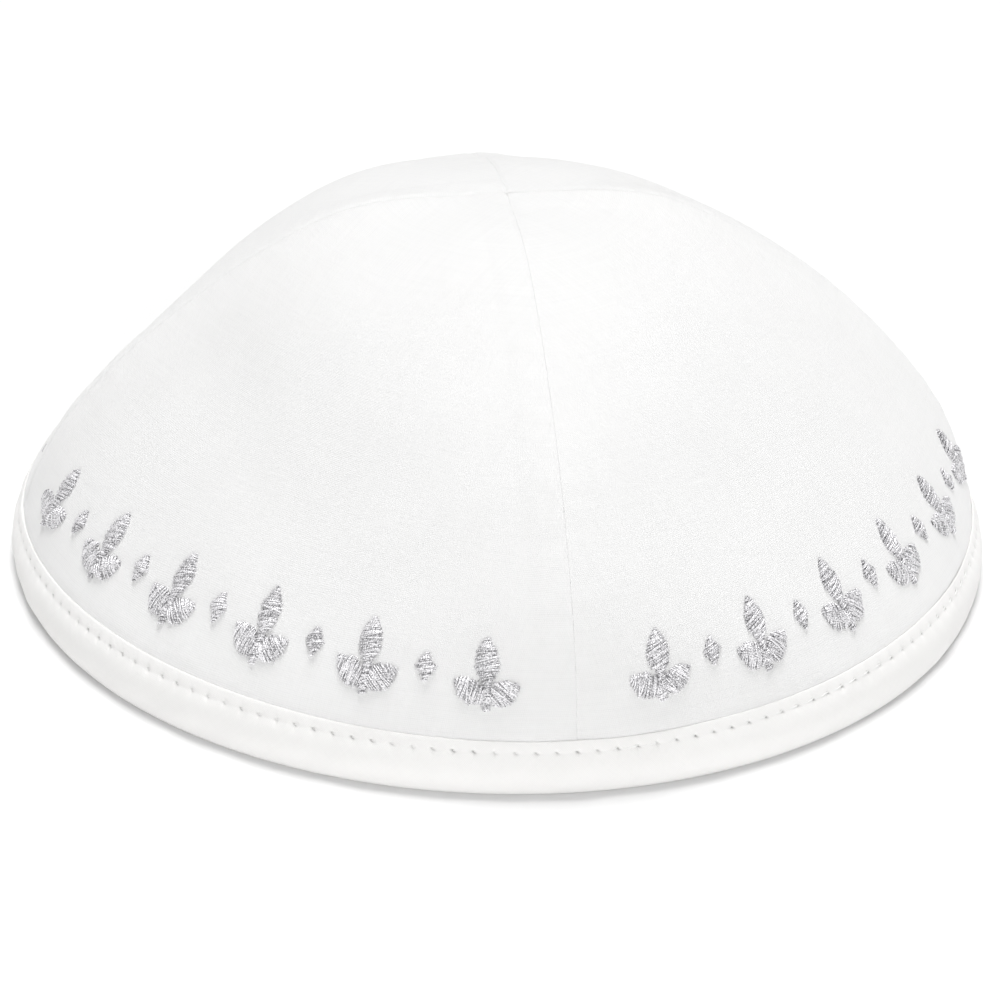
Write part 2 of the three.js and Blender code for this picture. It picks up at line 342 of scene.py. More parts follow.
def wovenCloth(name, look, stitchPitch=0, stitchLevels=()):   # plain weave on the piece's own map
    material, bench, shader = newMaterial(name)
    uv = bench.add("ShaderNodeUVMap", {"uv_map": "weave"})
    solid = bench.add("ShaderNodeTexCoord", out="Object")
    turned = bench.add("ShaderNodeMapping", {}, {"Vector": uv, "Rotation": (0, 0, look["turn"])})
    wander = bench.add("ShaderNodeTexNoise", {},
                       {"Vector": solid, "Scale": 1 / weave["wanderSize"]}, "Color")
    drift = bench.add("ShaderNodeVectorMath", {"operation": "MULTIPLY_ADD"},
                      {0: wander, 1: (weave["wander"],) * 3, 2: turned})
    u = bench.add("ShaderNodeSeparateXYZ", {}, {0: drift})
    turns = math.pi / look["pitch"]
    warp, weft = bench.maths("SINE", u * turns), bench.maths("SINE", u.other("Y") * turns)
    across, along = abs(warp), abs(weft)
    over = bench.maths("SMOOTH_MIN", warp * weft * 2 + 0.5, 1.0, weave["blend"])
    over = bench.maths("MAXIMUM", over, 0.0)          # which of the two threads lies on top
    crown = weave["crown"]
    height = across * along ** crown * over + along * across ** crown * (1 - over)
    thin = weave["slubStretch"]
    slubs = []
    for stretch in ((1, thin, 0), (thin, 1, 0)):
        drawn = bench.add("ShaderNodeVectorMath", {"operation": "MULTIPLY"}, {0: drift, 1: stretch})
        slubs.append(noise(bench, drawn, weave["slubSize"], 1))
    fuzz = noise(bench, solid, weave["fuzzSize"], 3)
    slub = slubs[0] + slubs[1] - 1.0
    height = height + slub * look["slub"] * 2 + fuzz * weave["fuzz"]
    bump = bench.add("ShaderNodeBump", {},
                     {"Strength": weave["bump"], "Distance": look["relief"], "Height": height},
                     "Normal")
    cloud = noise(bench, solid, weave["cloudSize"], 3)
    tint = mixColours(bench, cloud, look["light"], look["warm"])
    # painted shade: the low places of the weave are darkened, as if in shade between the threads
    paintedGrooveShade = bench.maths("MINIMUM", height * weave["paintedGrooveShade"] + weave["grooveShadeTone"], 1.0)
    shade = bench.add("ShaderNodeCombineColor", {}, {0: paintedGrooveShade, 1: paintedGrooveShade, 2: paintedGrooveShade})
    tint = mixColours(bench, 1.0, tint, shade, "MULTIPLY")
    if stitchLevels:
        # painted shadow: each needle hole gets a dark dash, partly the real hole and partly shade
        # painted round it
        holeShade = needleHoleShade(bench, uv, look, stitchPitch, stitchLevels)
        tint = mixColours(bench, holeShade, tint, look["holeShadeColour"])
    rough = look["roughness"] + (fuzz - 0.5) * weave["roughnessSpread"]
    join(bench, tint, shader.inputs["Base Color"])
    join(bench, rough, shader.inputs["Roughness"])
    join(bench, bump, shader.inputs["Normal"])
    shader.inputs["Sheen Weight"].default_value = look["sheen"]
    shader.inputs["Sheen Roughness"].default_value = weave["sheenRoughness"]
    shader.inputs["Specular IOR Level"].default_value = weave["specular"]
    return material


def silverThread():                       # foil wound round a core, each length in its own tone, with glints painted into its colour
    look = silverLook
    material, bench, shader = newMaterial("silverThread")
    tone = bench.add("ShaderNodeAttribute", {"attribute_name": "tone"}, out="Fac")
    along = bench.add("ShaderNodeAttribute", {"attribute_name": "along"}, out="Fac")
    around = bench.add("ShaderNodeAttribute", {"attribute_name": "around"}, out="Vector")
    x = bench.add("ShaderNodeSeparateXYZ", {}, {0: around})
    turn = bench.maths("ARCTAN2", x.other("Y"), x)
    wrap = bench.maths("SINE", turn + along * (2 * math.pi / look["wrapPitch"]))
    solid = bench.add("ShaderNodeTexCoord", out="Object")
    glint = noise(bench, solid, look["glintSize"], 2)
    # painted glints: the glint noise and the wrap of the foil lighten and darken the base colour
    # along each thread; tone is each thread's own
    share = ((tone - 0.5) * look["toneShare"] + (glint - 0.5) * look["glintShare"]
             + wrap * look["wrapGlintShare"] + look["mean"])
    share = bench.maths("MINIMUM", bench.maths("MAXIMUM", share, 0.0), 1.0)
    rough = look["roughness"] + (glint - 0.5) * look["roughnessSpread"]
    metal = look["metal"] + (tone - 0.5) * look["metalSpread"]
    height = wrap * 0.5 + glint
    bump = bench.add("ShaderNodeBump", {}, {"Strength": look["bump"], "Distance": look["relief"],
                                            "Height": height}, "Normal")
    join(bench, mixColours(bench, share, look["dark"], look["bright"]), shader.inputs["Base Color"])
    join(bench, rough, shader.inputs["Roughness"])
    join(bench, metal, shader.inputs["Metallic"])
    join(bench, bump, shader.inputs["Normal"])
    return material


def whiteThread():                        # spun two-ply thread of the seams and the binding
    look = stitchLook
    material, bench, shader = newMaterial("whiteThread")
    solid = bench.add("ShaderNodeTexCoord", out="Object")
    ply = noise(bench, solid, look["plySize"], 3)
    rough = look["roughness"] + (ply - 0.5) * look["roughnessSpread"]
    bump = bench.add("ShaderNodeBump", {}, {"Strength": look["bump"], "Distance": look["relief"],
                                            "Height": ply}, "Normal")
    join(bench, mixColours(bench, ply, look["shade"], look["colour"]), shader.inputs["Base Color"])
    join(bench, rough, shader.inputs["Roughness"])
    join(bench, bump, shader.inputs["Normal"])
    return material


cotton = wovenCloth("cottonWeave", cottonLook)
silver = silverThread()
white = whiteThread()
print("finishes made")


waveSeeds = {"swell": 4, "ripple": 9, "gather": 21, "pucker": 31, "drag": 41, "waver": 43}
clothRelief = {
    "valley": 0.08 * mm, "roll": 1.2 * mm,            # the cloth rolls down into each seam
    "allowance": (4.5 * mm, 6.7 * mm),    # the turned-in edges show faintly and end between these
    "raised": (0.04 * mm, 0.17 * mm),     # on each side of a seam
    "shoulder": (1.5 * mm, 0.9 * mm),
    "raisedFrom": (-1 * mm, 5 * mm),
    "easeRise": 8 * mm,                   # the cloth comes free over this height above the tape
    "ease": [                             # azimuth, share, mm inwards, width, height
        (-172, 0.82, 0.8, 20, 0.1), (180, 0.69, 1.2, 13, 0.07), (-135, 0.7, -0.8, 20, 0.1),
        (-110, 0.26, 3.0, 16, 0.17), (-90, 0.3, -1.1, 6, 0.15), (-90, 0.8, -1.1, 13, 0.1),
        (90, 0.8, -1.2, 13, 0.1), (90, 0.38, 0.7, 12, 0.14)],
    "pucker": 0.11 * mm, "puckerReach": 3.2 * mm, "puckerLength": 6.4 * mm,
    "puckerClear": 1.2 * mm, "puckerRise": 6 * mm, "puckerWander": 19 * mm, "puckerFoot": 0.45,
    "swell": 0.17 * mm, "swellLength": 38 * mm, "ripple": 0.05 * mm, "rippleLength": 14 * mm,
    "gather": 0.10 * mm, "gatherLength": 7.0 * mm, "gatherReach": 5 * mm, "gatherRise": 1.5 * mm,
    "puff": 0.22 * mm, "puffRise": 0.45 * mm, "puffReach": 5 * mm,     # over the edge of the tape
    "seamGap": 0.002 * mm,                # the gores keep this far off the seam planes
}


def clothEase(azimuth, share):            # the soft form of the cloth, off the plain face
    relief, edge = clothRelief, capShape["bindingWidth"]
    height = outerFace(azimuth, share)[1]
    plain = capPoint(azimuth, share, 0)
    lift = relief["swell"] * softWaves(plain, relief["swellLength"], waveSeeds["swell"])
    for middle, level, depth, width, tall in relief["ease"]:
        away = np.mod(np.degrees(azimuth) - middle + 180, 360) - 180
        lift = lift - depth * mm * np.exp(-(away / width) ** 2 - ((share - level) / tall) ** 2)
    return lift * smooth(height, edge, edge + relief["easeRise"])


def clothLift(azimuth, share):            # how far the real cloth stands off the plain face
    relief, edge = clothRelief, capShape["bindingWidth"]
    radius, height = outerFace(azimuth, share)
    point = capPoint(azimuth, share, 0)
    turn = np.mod(azimuth, quarter)
    distance = np.interp(share, walkShare, walkDistance)
    above = np.maximum(height - edge, 0)
    ripple = softWaves(point, relief["rippleLength"], waveSeeds["ripple"])
    free = smooth(height, edge, edge + relief["easeRise"])
    lift = clothEase(azimuth, share) + free * relief["ripple"] * ripple
    upright = point * [1, 1, 0.2]         # the gathers run up the cloth
    gather = softWaves(upright, relief["gatherLength"], waveSeeds["gather"])
    gather = gather * smooth(above, 0, relief["gatherRise"])
    lift += relief["gather"] * gather * np.exp(-above / relief["gatherReach"])
    puff = smooth(above, 0, relief["puffRise"]) * np.exp(-above / relief["puffReach"])
    lift += relief["puff"] * puff
    for side, raised in enumerate(relief["raised"]):
        near = radius * (np.sin(turn), np.cos(turn))[side]
        lift -= relief["valley"] * np.clip(1 - near / relief["roll"], 0, 1) ** 2
        shoulder = smooth(near, 0, relief["shoulder"][side])
        plateau = shoulder * (1 - smooth(near, *relief["allowance"]))
        lift += raised * plateau * smooth(above, *relief["raisedFrom"])
        wander = softWaves(point, relief["puckerWander"], waveSeeds["pucker"] + side)
        wave = np.sin(distance * 2 * math.pi / relief["puckerLength"] + 1.7 * side + 1.4 * wander)
        fade = smooth(near, 0, relief["puckerClear"]) * np.exp(-near / relief["puckerReach"])
        fade = fade * smooth(above, 0, relief["puckerRise"])
        lift += relief["pucker"] * wave * (relief["puckerFoot"] + share) * fade
    return lift


gorePanel = {
    "rows": 112, "columns": 118,
    "beside": [0, 0.12, 0.28, 0.48, 0.72, 1.0, 1.35, 1.8, 2.4, 3.2],     # columns by a seam, in mm
    "besideReach": 14 * mm,               # closer to the crown these columns draw together
    "flap": 0.4 * mm, "flapEdge": (5.2 * mm, 5.7 * mm), "flapFoot": (10 * mm, 12 * mm),    # inside
}


def goreColumns(reach):                   # turns from 0 to 90 degrees, closest beside the seams
    beside = np.array(gorePanel["beside"]) * mm
    edge = np.arcsin(beside / np.maximum(reach, gorePanel["besideReach"])[:, None])
    middle = np.linspace(edge[:, -1], quarter - edge[:, -1], gorePanel["columns"], axis=1)[:, 1:-1]
    return np.concatenate([edge, middle, quarter - edge[:, ::-1]], 1)


def makeGore(name, firstSeam):
    distance = np.linspace(np.interp(capShape["clothFoot"], walkHeight, walkDistance),
                           walkDistance[-1], gorePanel["rows"])
    share = np.interp(distance, walkDistance, walkShare)
    turn = goreColumns(outerFace(np.zeros_like(share), share)[0])
    share = np.broadcast_to(share[:, None], turn.shape)
    azimuth = firstSeam + turn
    lift, ease = clothLift(azimuth, share), clothEase(azimuth, share)
    radius = outerFace(azimuth, share)[0]
    near = np.minimum(radius * np.sin(turn), radius * np.cos(turn))
    flap = gorePanel["flap"] * (1 - smooth(near, *gorePanel["flapEdge"]))
    flap = flap * smooth(distance, *gorePanel["flapFoot"])[:, None]
    first = np.array([math.sin(firstSeam), -math.cos(firstSeam)])
    following = np.array([math.cos(firstSeam), math.sin(firstSeam)])
    sheets = []
    for out in (lift, (lift + ease) / 2 - capShape["wall"] - flap):
        spot = capPoint(azimuth, share, out)
        reach = np.hypot(spot[..., 0], spot[..., 1])
        along = clothRelief["seamGap"] + reach * np.cos(turn)
        across = clothRelief["seamGap"] + reach * np.sin(turn)
        level = along[..., None] * first + across[..., None] * following
        sheets.append(np.concatenate([level, spot[..., 2:]], -1))
    outer, inner = sheets
    loop = np.concatenate([outer, inner[:, ::-1], outer[:, :1]], 1)
    width = radius[:, :1] * (turn - quarter / 2)
    flat = np.stack([width, np.broadcast_to(distance[:, None], width.shape)], -1)
    uv = np.concatenate([flat, flat[:, ::-1], flat[:, :1]], 1)
    faces = gridFaces(*loop.shape[:2])
    columns = turn.shape[1]
    start = np.arange(columns - 1)
    foot = np.stack([start, start + 1, 2 * columns - 2 - start, 2 * columns - 1 - start], 1)
    return makePiece(name, loop, np.concatenate([faces, foot]), cotton, uv)


goreNames = ["front_right", "back_right", "back_left", "front_left"]
for i, goreName in enumerate(goreNames):
    seat(makeGore(f"cloth_{goreName}", i * quarter), [f"gore_{goreName}"])
print("gores made")


def stitchRowTree():                      # sets a row of stitches along a path
    bench = geometryBench("stitchRow")
    geometry = Wire(bench, bench.tree.nodes["Group Input"].outputs["Geometry"])
    count = bench.ask("Stitches", "NodeSocketInt", 100)
    length = bench.ask("Stitch length", "NodeSocketFloat", 3.0 * mm)
    rise = bench.ask("Rise", "NodeSocketFloat", 0.1 * mm)
    dip = bench.ask("Dip", "NodeSocketFloat", 0.3 * mm)
    thick = bench.ask("Thread radius", "NodeSocketFloat", 0.15 * mm)
    lean = bench.ask("Lean", "NodeSocketFloat", 0.0)
    stray = bench.ask("Stray", "NodeSocketFloat", 0.08)
    seed = bench.ask("Seed", "NodeSocketInt", 1)
    material = bench.ask("Material", "NodeSocketMaterial")
    curve = bench.add("GeometryNodeMeshToCurve", {}, {"Mesh": geometry})
    points = bench.add("GeometryNodeCurveToPoints", {"mode": "COUNT"},
                       {"Curve": curve, "Count": count})
    outward = bench.add("GeometryNodeInputNamedAttribute", {"data_type": "FLOAT_VECTOR"},
                        {"Name": "outward"})
    turned = bench.add("FunctionNodeAlignRotationToVector", {"axis": "X"},
                       {"Vector": points.other("Tangent")})
    turned = bench.add("FunctionNodeAlignRotationToVector", {"axis": "Z", "pivot_axis": "X"},
                       {"Rotation": turned, "Vector": outward})
    wander = bench.add("FunctionNodeRandomValue", {"data_type": "FLOAT"},
                       {"Min": 0 - stray, "Max": stray, "Seed": seed}, "Value")
    twist = bench.add("ShaderNodeCombineXYZ", {}, {"Z": lean + wander})
    twist = bench.add("FunctionNodeEulerToRotation", {}, {0: twist})
    turned = bench.add("FunctionNodeRotateRotation", {"rotation_space": "LOCAL"},
                       {"Rotation": turned, "Rotate By": twist})
    low = 0 - dip
    bow = {"Start": (-0.5, low), "Start Handle": (-0.42, rise),       # share of the length, height
           "End Handle": (0.42, rise), "End": (0.5, low)}
    bow = {name: bench.add("ShaderNodeCombineXYZ", {}, {"X": length * place, "Z": level})
           for name, (place, level) in bow.items()}
    arch = bench.add("GeometryNodeCurvePrimitiveBezierSegment", {}, {"Resolution": 10, **bow})
    ring = bench.add("GeometryNodeCurvePrimitiveCircle", {}, {"Resolution": 7, "Radius": thick})
    stitch = bench.add("GeometryNodeCurveToMesh", {},
                       {"Curve": arch, "Profile Curve": ring, "Fill Caps": True})
    placed = bench.add("GeometryNodeInstanceOnPoints", {},
                       {"Points": points, "Instance": stitch, "Rotation": turned})
    finishTree(bench, placed, material)
    return bench


stitchRow = stitchRowTree()


rimTape = {
    "stitchLine": 7.6 * mm, "stitchPitch": 3.4 * mm,
    "stitchFace": 0.53 * mm,              # how far the tape's face stands out at the stitches
    "cell": [0, 0.18, 0.42, 0.9, 1.7, 2.5, 2.98, 3.22],      # mm along a stitch, from its hole
    "section": [                          # depth under the cloth's face and height, in mm
        (0.6, 0.0), (0.1, 0.0), (-0.3, 0.05), (-0.62, 0.2), (-0.88, 0.48), (-1.06, 0.9),
        (-1.17, 1.45), (-1.24, 2.2), (-1.26, 3.0), (-1.23, 3.9), (-1.15, 4.8), (-1.03, 5.6),
        (-0.88, 6.3), (-0.72, 6.85), (-0.60, 7.25), (-0.545, 7.45), (-0.53, 7.6),
        (-0.535, 7.75), (-0.54, 7.95), (-0.525, 8.3), (-0.49, 8.7), (-0.44, 9.05),
        (-0.39, 9.25), (-0.33, 9.37), (-0.23, 9.41), (-0.12, 9.37), (-0.05, 9.1), (-0.05, 7.0),
        (-0.05, 4.0), (-0.05, 1.5), (0.2, 1.1), (0.9, 1.05), (1.26, 1.5), (1.26, 4.0),
        (1.26, 7.0), (1.27, 9.0), (1.36, 9.28), (1.52, 9.41), (1.7, 9.36), (1.83, 9.15),
        (1.9, 8.8), (1.89, 8.3), (1.84, 7.9), (1.82, 7.6), (1.85, 7.3), (1.98, 6.7), (2.2, 5.6),
        (2.36, 4.2), (2.42, 2.8), (2.38, 1.4), (2.2, 0.55), (1.9, 0.15), (1.4, 0.01)],
    "shown": (-0.1 * mm, 1.27 * mm),      # only the faces outside these depths have relief
    "hole": 0.28 * mm, "holeSize": 0.24 * mm, "dimple": 0.13 * mm, "dimpleSize": 0.8 * mm,
    "dimpleSlant": 0.35, "ruffle": 0.04 * mm, "ruffleSize": 1.6 * mm,
    "drag": 0.07 * mm, "dragLength": 9 * mm, "dragSlant": 1.1, "dragFoot": 1.5 * mm,
    "dragTop": (6.2 * mm, 8.2 * mm), "waver": 0.10 * mm, "waverLength": 46 * mm,
    "seamBulk": 0.2 * mm, "seamReach": 5 * mm, "floorClear": 2 * mm,
    "join": math.radians(197), "joinLength": 9 * mm, "joinStep": 0.35 * mm,
    "joinSlant": 0.45, "joinLevel": 4 * mm, "joinFoot": 1 * mm, "joinEdges": (0.35 * mm, 3 * mm),
    "reach": 90 * mm,                     # the rim's radius, which makes lengths of turns
}

section = np.array(rimTape["section"]) * mm
sectionShare = np.interp(section[:, 1], walkHeight, walkShare)
ringTurns = np.linspace(0, 4 * quarter, 8 * 360 + 1)         # eight to the degree
stitchShare = float(np.interp(rimTape["stitchLine"], walkHeight, walkShare))
ringLine = capPoint(ringTurns, stitchShare, rimTape["stitchFace"])
ringArc = np.concatenate([[0], np.cumsum(np.linalg.norm(np.diff(ringLine, axis=0), axis=1))])
stitchCount = round(ringArc[-1] / rimTape["stitchPitch"])
pitch = ringArc[-1] / stitchCount

cell = np.array(rimTape["cell"]) * mm / rimTape["stitchPitch"]
tapeArc = ((np.arange(stitchCount)[:, None] + cell) * pitch).ravel()
tapeArc = np.append(tapeArc, ringArc[-1])
tapeTurn = np.interp(tapeArc, ringArc, ringTurns)

foldLengths = np.linalg.norm(np.diff(np.vstack([section, section[:1]]), axis=0), axis=1)
fold = np.concatenate([[0], np.cumsum(foldLengths)])         # distance walked round the section
stitchRows = [row for row, height in enumerate(section[:, 1]) if height == rimTape["stitchLine"]]
tape = wovenCloth("tapeWeave", tapeLook, pitch, [float(fold[row]) for row in stitchRows])


def tapeRelief(arc, turn, depth, height):     # how far the tape stands off its plain section
    form, reach = rimTape, rimTape["reach"]
    shown = (depth < form["shown"][0]) | (depth > form["shown"][1])
    level = height - form["stitchLine"]
    offset = np.mod(arc + form["dimpleSlant"] * level + pitch / 2, pitch) - pitch / 2
    far = np.hypot(offset, level)
    relief = -form["dimple"] * np.exp(-(far / form["dimpleSize"]) ** 2)
    ruffle = np.cos(2 * math.pi * offset / pitch) * np.exp(-(level / form["ruffleSize"]) ** 2)
    relief -= form["ruffle"] * ruffle
    relief -= form["hole"] * np.exp(-(far / form["holeSize"]) ** 2)
    clear = smooth(height, 0, form["floorClear"])     # it lies flat on the floor
    drawn = turn - form["dragSlant"] * height / reach        # the drag lines slant
    sweep = np.stack([np.cos(drawn), np.sin(drawn), 0 * drawn], -1) * reach
    belly = smooth(height, 0, form["dragFoot"]) * (1 - smooth(height, *form["dragTop"]))
    relief += belly * form["drag"] * softWaves(sweep, form["dragLength"], waveSeeds["drag"])
    ring = np.stack([np.cos(turn), np.sin(turn), height / reach], -1) * reach
    relief += form["waver"] * softWaves(ring, form["waverLength"], waveSeeds["waver"]) * clear
    toSeam = (np.mod(turn + quarter / 2, quarter) - quarter / 2) * reach
    relief += form["seamBulk"] * np.exp(-(toSeam / form["seamReach"]) ** 2) * clear
    slant = form["joinSlant"] * (height - form["joinLevel"])
    past = np.mod((turn - form["join"]) * reach + slant, 4 * quarter * reach)
    begins, ends = form["joinEdges"]
    tail = smooth(past, form["joinLength"], form["joinLength"] + ends)
    overlap = smooth(past, 0, begins) * (1 - tail)
    relief += form["joinStep"] * overlap * smooth(height, 0, form["joinFoot"])
    return relief * shown


def makeTape():
    beside = np.roll(section, -1, 0) - np.roll(section, 1, 0)
    beside /= np.linalg.norm(beside, axis=1)[:, None]
    outDepth, outHeight = -beside[:, 1], beside[:, 0]        # outward across the section
    depth, height = section[:, 0][:, None], section[:, 1][:, None]
    arc, turn = np.broadcast_arrays(tapeArc[None], tapeTurn[None])
    depth, height, arc, turn = np.broadcast_arrays(depth, height, arc, turn)
    deep = tapeRelief(arc, turn, depth, height)
    depth = depth + deep * outDepth[:, None]
    lifted = deep * outHeight[:, None]
    points = capPoint(turn, np.broadcast_to(sectionShare[:, None], turn.shape), -depth)
    points[..., 2] = np.maximum(points[..., 2] + lifted, 0)
    points = np.concatenate([points, points[:1]])
    uv = np.stack(np.broadcast_arrays(tapeArc[None], fold[:, None]), -1)
    return makePiece("rim_tape", points, gridFaces(*points.shape[:2]), tape, uv)


seat(makeTape(), ["binding"])
print("tape made,", stitchCount, "stitches")


def ringPath(name, depth):                # the closed line halfway between the holes
    turn = np.interp(np.mod(tapeArc[:-1] + pitch / 2, ringArc[-1]), ringArc, ringTurns)
    line = capPoint(turn, stitchShare, -depth)
    outward = np.stack([np.sin(turn), -np.cos(turn), 0 * turn], -1)
    if depth > 0:
        outward = -outward
    line, outward = np.vstack([line, line[:1]]), np.vstack([outward, outward[:1]])
    return pathObject(name, [line], {"outward": [outward]})


lockstitch = {                            # depths are taken inwards from the cloth's plain face
    "depths": {"rim_stitches": -0.40 * mm, "rim_stitches_inside": 1.70 * mm},
    "gap": 0.30 * mm, "rise": 0.12 * mm, "dip": 0.40 * mm, "threadRadius": 0.13 * mm,
    "lean": math.radians(3), "stray": 0.02, "seed": 5,
}
for name, depth in lockstitch["depths"].items():
    rimRow = growPiece(ringPath(name, depth), stitchRow, {
        "Stitches": stitchCount, "Stitch length": pitch - lockstitch["gap"],
        "Rise": lockstitch["rise"], "Dip": lockstitch["dip"],
        "Thread radius": lockstitch["threadRadius"], "Lean": lockstitch["lean"],
        "Stray": lockstitch["stray"], "Seed": lockstitch["seed"], "Material": white})
    seat(rimRow)


seamStitch = {
    "count": 40, "length": 0.8 * mm, "rise": 0.02 * mm, "dip": 0.25 * mm,
    "threadRadius": 0.08 * mm, "lean": math.radians(62), "stray": 0.12, "seed": 8,
    "fromTape": 1 * mm, "fromCrown": 1.2 * mm, "sunk": 0.02 * mm, "pathPoints": 90,
}


def seamPaths():                          # up each of the four seams, from the tape to the crown
    lines, outwards = [], []
    foot = np.interp(capShape["bindingWidth"], walkHeight, walkDistance) + seamStitch["fromTape"]
    distance = np.linspace(foot, walkDistance[-1] - seamStitch["fromCrown"],
                           seamStitch["pathPoints"])
    share = np.interp(distance, walkDistance, walkShare)
    for seam in range(4):
        turn = np.full(len(share), seam * quarter)
        lines.append(capPoint(turn, share, clothLift(turn, share) - seamStitch["sunk"]))
        outwards.append(capPoint(turn, share, 1.0) - capPoint(turn, share, 0.0))
    return lines, outwards


seamLines, seamOutwards = seamPaths()
seamRow = growPiece(pathObject("seam_stitches", seamLines, {"outward": seamOutwards}), stitchRow, {
    "Stitches": seamStitch["count"], "Stitch length": seamStitch["length"],
    "Rise": seamStitch["rise"], "Dip": seamStitch["dip"],
    "Thread radius": seamStitch["threadRadius"], "Lean": seamStitch["lean"],
    "Stray": seamStitch["stray"], "Seed": seamStitch["seed"], "Material": white})
seat(seamRow)
print("stitches made")


border = {                                # satin-stitched leaf sprigs with lozenges between them
    "foot": 4.6 * mm, "seamMargin": 8.5 * mm, "sprigs": 6, "height": 11.6 * mm,
    "topLeaf": 7.4 * mm, "sideLeaf": 6.0 * mm, "sideTilt": math.radians(58), "sideFoot": 1.5 * mm,
    "leafWidth": 3.9 * mm, "belly": 0.45, "stemWidth": 1.3 * mm,
    "lozengeHeight": 4.6 * mm, "lozengeWidth": 3.4 * mm,
    "threadPitch": 0.27 * mm, "threadRadius": 0.165 * mm, "slant": math.radians(16),
    "firstThread": 0.2 * mm, "lastThread": 0.1 * mm, "shortest": 0.45 * mm,
    "overlap": 0.05 * mm, "ragged": 0.24 * mm,        # how far a thread's ends pass the outline
    "slantSpread": 0.11, "pitchSpread": 0.05 * mm, "peakSpread": 0.045 * mm, "loose": 0.06 * mm,
    "sunk": 0.16 * mm, "round": 0.55,     # a thread's ends dive, and its back is this full
    "padTop": 0.66 * mm, "padLeast": 0.22 * mm, "padShare": 0.22,
    "underThread": 0.1 * mm, "padFoot": 0.2 * mm, "padBase": 0.3 * mm, "padFill": 0.97,
    "padSpan": (0.06, 0.95), "padThin": 0.05 * mm,
    "seed": 12, "threadSeed": 3,
}
borderStart = float(np.interp(capShape["bindingWidth"], walkHeight, walkDistance)) + border["foot"]
borderShare = float(np.interp(borderStart + border["height"] / 2, walkDistance, walkShare))
borderRadius = float(outerFace(np.array(quarter / 2), np.array(borderShare))[0])


def leafSide(length):                     # heights along a leaf's rib and half widths there
    s = np.linspace(0, 1, 60)
    bow = 2 * s * (1 - s)
    return bow * length * border["belly"] + s * s * length, bow * border["leafWidth"]


def barSide(length):                      # the stem, with round ends
    y = np.linspace(0, length, 60)
    tip = np.sqrt(np.clip(1 - (np.abs(y - length / 2) / (length / 2)) ** 6, 0, 1))
    return y, border["stemWidth"] / 2 * tip


def lozengeSide(length):                  # straight from tip to tip
    y = np.linspace(0, length, 60)
    return y, border["lozengeWidth"] / 2 * (1 - np.abs(2 * y / length - 1))


def sprigParts():                         # foot, length, tilt and side of each satin part
    topFoot = border["height"] - border["topLeaf"]
    return [(0.0, topFoot + border["stemWidth"], 0.0, barSide),
            (border["sideFoot"], border["sideLeaf"], border["sideTilt"], leafSide),
            (border["sideFoot"], border["sideLeaf"], -border["sideTilt"], leafSide),
            (topFoot, border["topLeaf"], 0.0, leafSide)]


def lozengeParts():                       # halfway up the sprigs
    low = (border["height"] - border["lozengeHeight"]) / 2
    return [(low, border["lozengeHeight"], 0.0, lozengeSide)]


def tilted(x, y, foot, tilt):
    return (x * math.cos(tilt) + y * math.sin(tilt), y * math.cos(tilt) - x * math.sin(tilt) + foot)


def onCloth(middle, x, y, z):             # flat points laid on the cloth round an azimuth
    azimuth = middle + x / borderRadius
    share = np.interp(borderStart + y, walkDistance, walkShare)
    return capPoint(azimuth, share, clothLift(azimuth, share) + z)


def padPeak(width):                       # a wide part stands higher
    return np.minimum(border["padTop"], border["padLeast"] + border["padShare"] * width)


threadStep = np.array([0, 0.035, 0.13, 0.3, 0.5, 0.7, 0.87, 0.965, 1.0])     # places along a thread
threadArch = (1 - (2 * threadStep - 1) ** 2) ** border["round"]
threadTaper = 0.62 + 0.38 * np.minimum(1, 5 * np.minimum(threadStep, 1 - threadStep))   # thin ends


def satinThreads(part, draw):             # flat threads across one part, as rows of x, y and z
    foot, length, tilt, side = part
    ys, halves = side(length)
    march = np.linspace(0, border["leafWidth"] * 0.75, 160)
    threads = []
    last = length - border["lastThread"]
    for rib in np.arange(border["firstThread"], last, border["threadPitch"]):
        slant = border["slant"] + draw.normal(0, border["slantSpread"])
        rib = rib + draw.normal(0, border["pitchSpread"])
        ends = []
        for way in (-1, 1):               # out from the rib until the outline is passed
            half = np.interp(rib + way * march * math.sin(slant), ys, halves, 0, 0)
            reach = march[np.argmin(half > march * math.cos(slant))]
            ends.append(reach + border["overlap"] + border["ragged"] * draw.uniform(-0.6, 1))
        if sum(ends) < border["shortest"]:
            continue
        run = -ends[0] + threadStep * sum(ends)
        peak = padPeak(sum(ends)) + draw.normal(0, border["peakSpread"])
        x, y = tilted(run * math.cos(slant), rib + run * math.sin(slant), foot, tilt)
        threads.append([x, y, -border["sunk"] + (peak + border["sunk"]) * threadArch])
    return np.array(threads)


def satinPad(middle, part):               # the stitched padding that the threads lie over
    foot, length, tilt, side = part
    ys, halves = side(length)
    y = np.linspace(*border["padSpan"], 15)[:, None] * length
    half = np.interp(y, ys, halves)
    c = np.linspace(-1, 1, 9)[None]       # from side to side
    x = half * c * border["padFill"]
    top = np.maximum(padPeak(2 * half) - border["underThread"], border["padThin"])
    z = -border["padFoot"] + (top + border["padFoot"]) * (1 - c ** 2) ** border["round"]
    upper = np.stack(np.broadcast_arrays(x, y, z), -1)
    lower = np.stack(np.broadcast_arrays(x, y, -border["padBase"] + 0 * z), -1)
    loop = np.concatenate([upper, lower[:, ::-1], upper[:, :1]], 1)
    x, y = tilted(loop[..., 0], loop[..., 1], foot, tilt)
    points = onCloth(middle, x, y, loop[..., 2])
    ends = [np.broadcast_to(points[i].mean(0), points[i].shape) for i in (0, -1)]
    return np.concatenate([ends[0][None], points, ends[1][None]])


